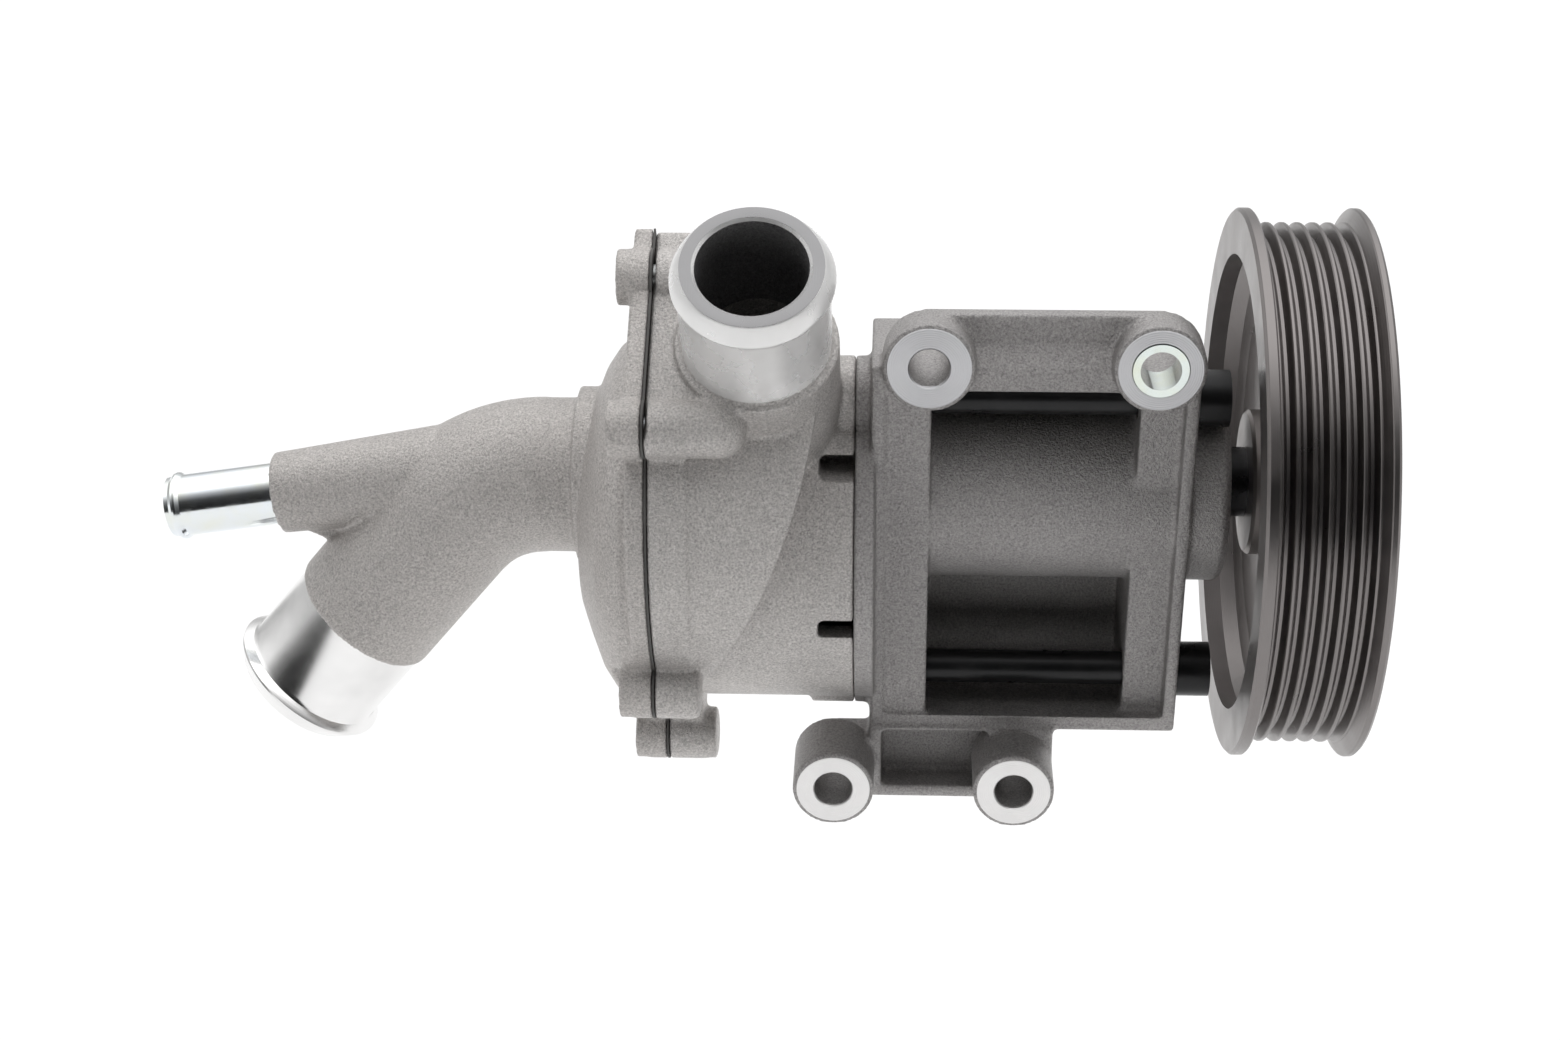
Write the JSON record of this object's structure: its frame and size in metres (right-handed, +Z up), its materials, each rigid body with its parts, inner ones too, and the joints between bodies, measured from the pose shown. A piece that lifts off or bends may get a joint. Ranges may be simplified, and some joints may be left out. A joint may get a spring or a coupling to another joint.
{
  "type": "water pump",
  "caption": "Belt driven engine coolant pump: grooved pulley, bearing bracket with engine bosses, scroll housing, hose outlet neck, inlet elbow and heater return tube.",
  "frame": {"origin": "on the shaft axis, at the middle plane of the belt grooves", "axes": "+X along the shaft from the inlet towards the pulley, -Y towards the engine that the four bosses bolt to, +Z up to the outlet neck's side"},
  "size_m": [0.2811, 0.128, 0.1552],
  "materials": {
    "cast_housing": "die cast and blasted, machined outlet neck",
    "cast_cover": "die cast and blasted, machined inlet neck",
    "gasket": "moulded sheet gasket",
    "zinc_screw": "zinc plated steel",
    "zinc_tube": "bright zinc plated steel",
    "cast_bracket": "die cast and blasted, machined mounting faces",
    "o_ring": "moulded rubber",
    "black_screw": "black oxide steel",
    "zinc_sleeve": "bright zinc plated steel",
    "bearing_steel": "ground steel",
    "bearing_seal": "moulded rubber",
    "seal_brass": "drawn brass",
    "seal_rubber": "moulded rubber",
    "spring_steel": "drawn wire",
    "carbon": "lapped carbon",
    "shaft_steel": "ground steel",
    "hub_steel": "turned steel",
    "pulley_steel": "turned steel",
    "hub_screw": "zinc plated steel",
    "seat_ceramic": "lapped ceramic",
    "slinger_steel": "pressed steel",
    "impeller_plastic": "glass filled plastic",
    "ball_steel": "polished steel",
    "cage_plastic": "glass filled polyamide",
    "roller_steel": "polished steel"
  },
  "bodies": {
    "pump_body": {"pump_housing": "cast_housing", "inlet_cover": "cast_cover", "cover_gasket": "gasket", "cover_screws": "zinc_screw", "heater_tube": "zinc_tube", "bearing_bracket": "cast_bracket", "bracket_seal": "o_ring", "bracket_screws": "black_screw", "mount_sleeve": "zinc_sleeve", "bearing_ring": "bearing_steel", "bearing_seals": "bearing_seal", "seal_cup": "seal_brass", "seal_bellows": "seal_rubber", "seal_spring": "spring_steel", "carbon_ring": "carbon"},
    "rotor": {"shaft": "shaft_steel", "pulley_hub": "hub_steel", "pulley": "pulley_steel", "pulley_screws": "hub_screw", "seal_seat": "seat_ceramic", "slinger": "slinger_steel", "impeller": "impeller_plastic"},
    "ball_row": {"bearing_balls": "ball_steel", "ball_cage": "cage_plastic"},
    "roller_row": {"bearing_rollers": "roller_steel", "roller_cage": "cage_plastic"}
  },
  "joints": [
    {"name": "shaft_spin", "type": "hinge", "parent": "pump_body", "child": "rotor", "pos_m": [0, 0, 0], "axis": [1, 0, 0], "continuous": true},
    {"name": "ball_row_orbit", "type": "hinge", "parent": "pump_body", "child": "ball_row", "pos_m": [-0.062, 0, 0], "axis": [1, 0, 0], "continuous": true},
    {"name": "roller_row_orbit", "type": "hinge", "parent": "pump_body", "child": "roller_row", "pos_m": [-0.034, 0, 0], "axis": [1, 0, 0], "continuous": true}
  ],
  "couplings": [
    {"joint": "ball_row_orbit", "follows": "shaft_spin", "ratio": 0.3276},
    {"joint": "roller_row_orbit", "follows": "shaft_spin", "ratio": 0.3821}
  ]
}
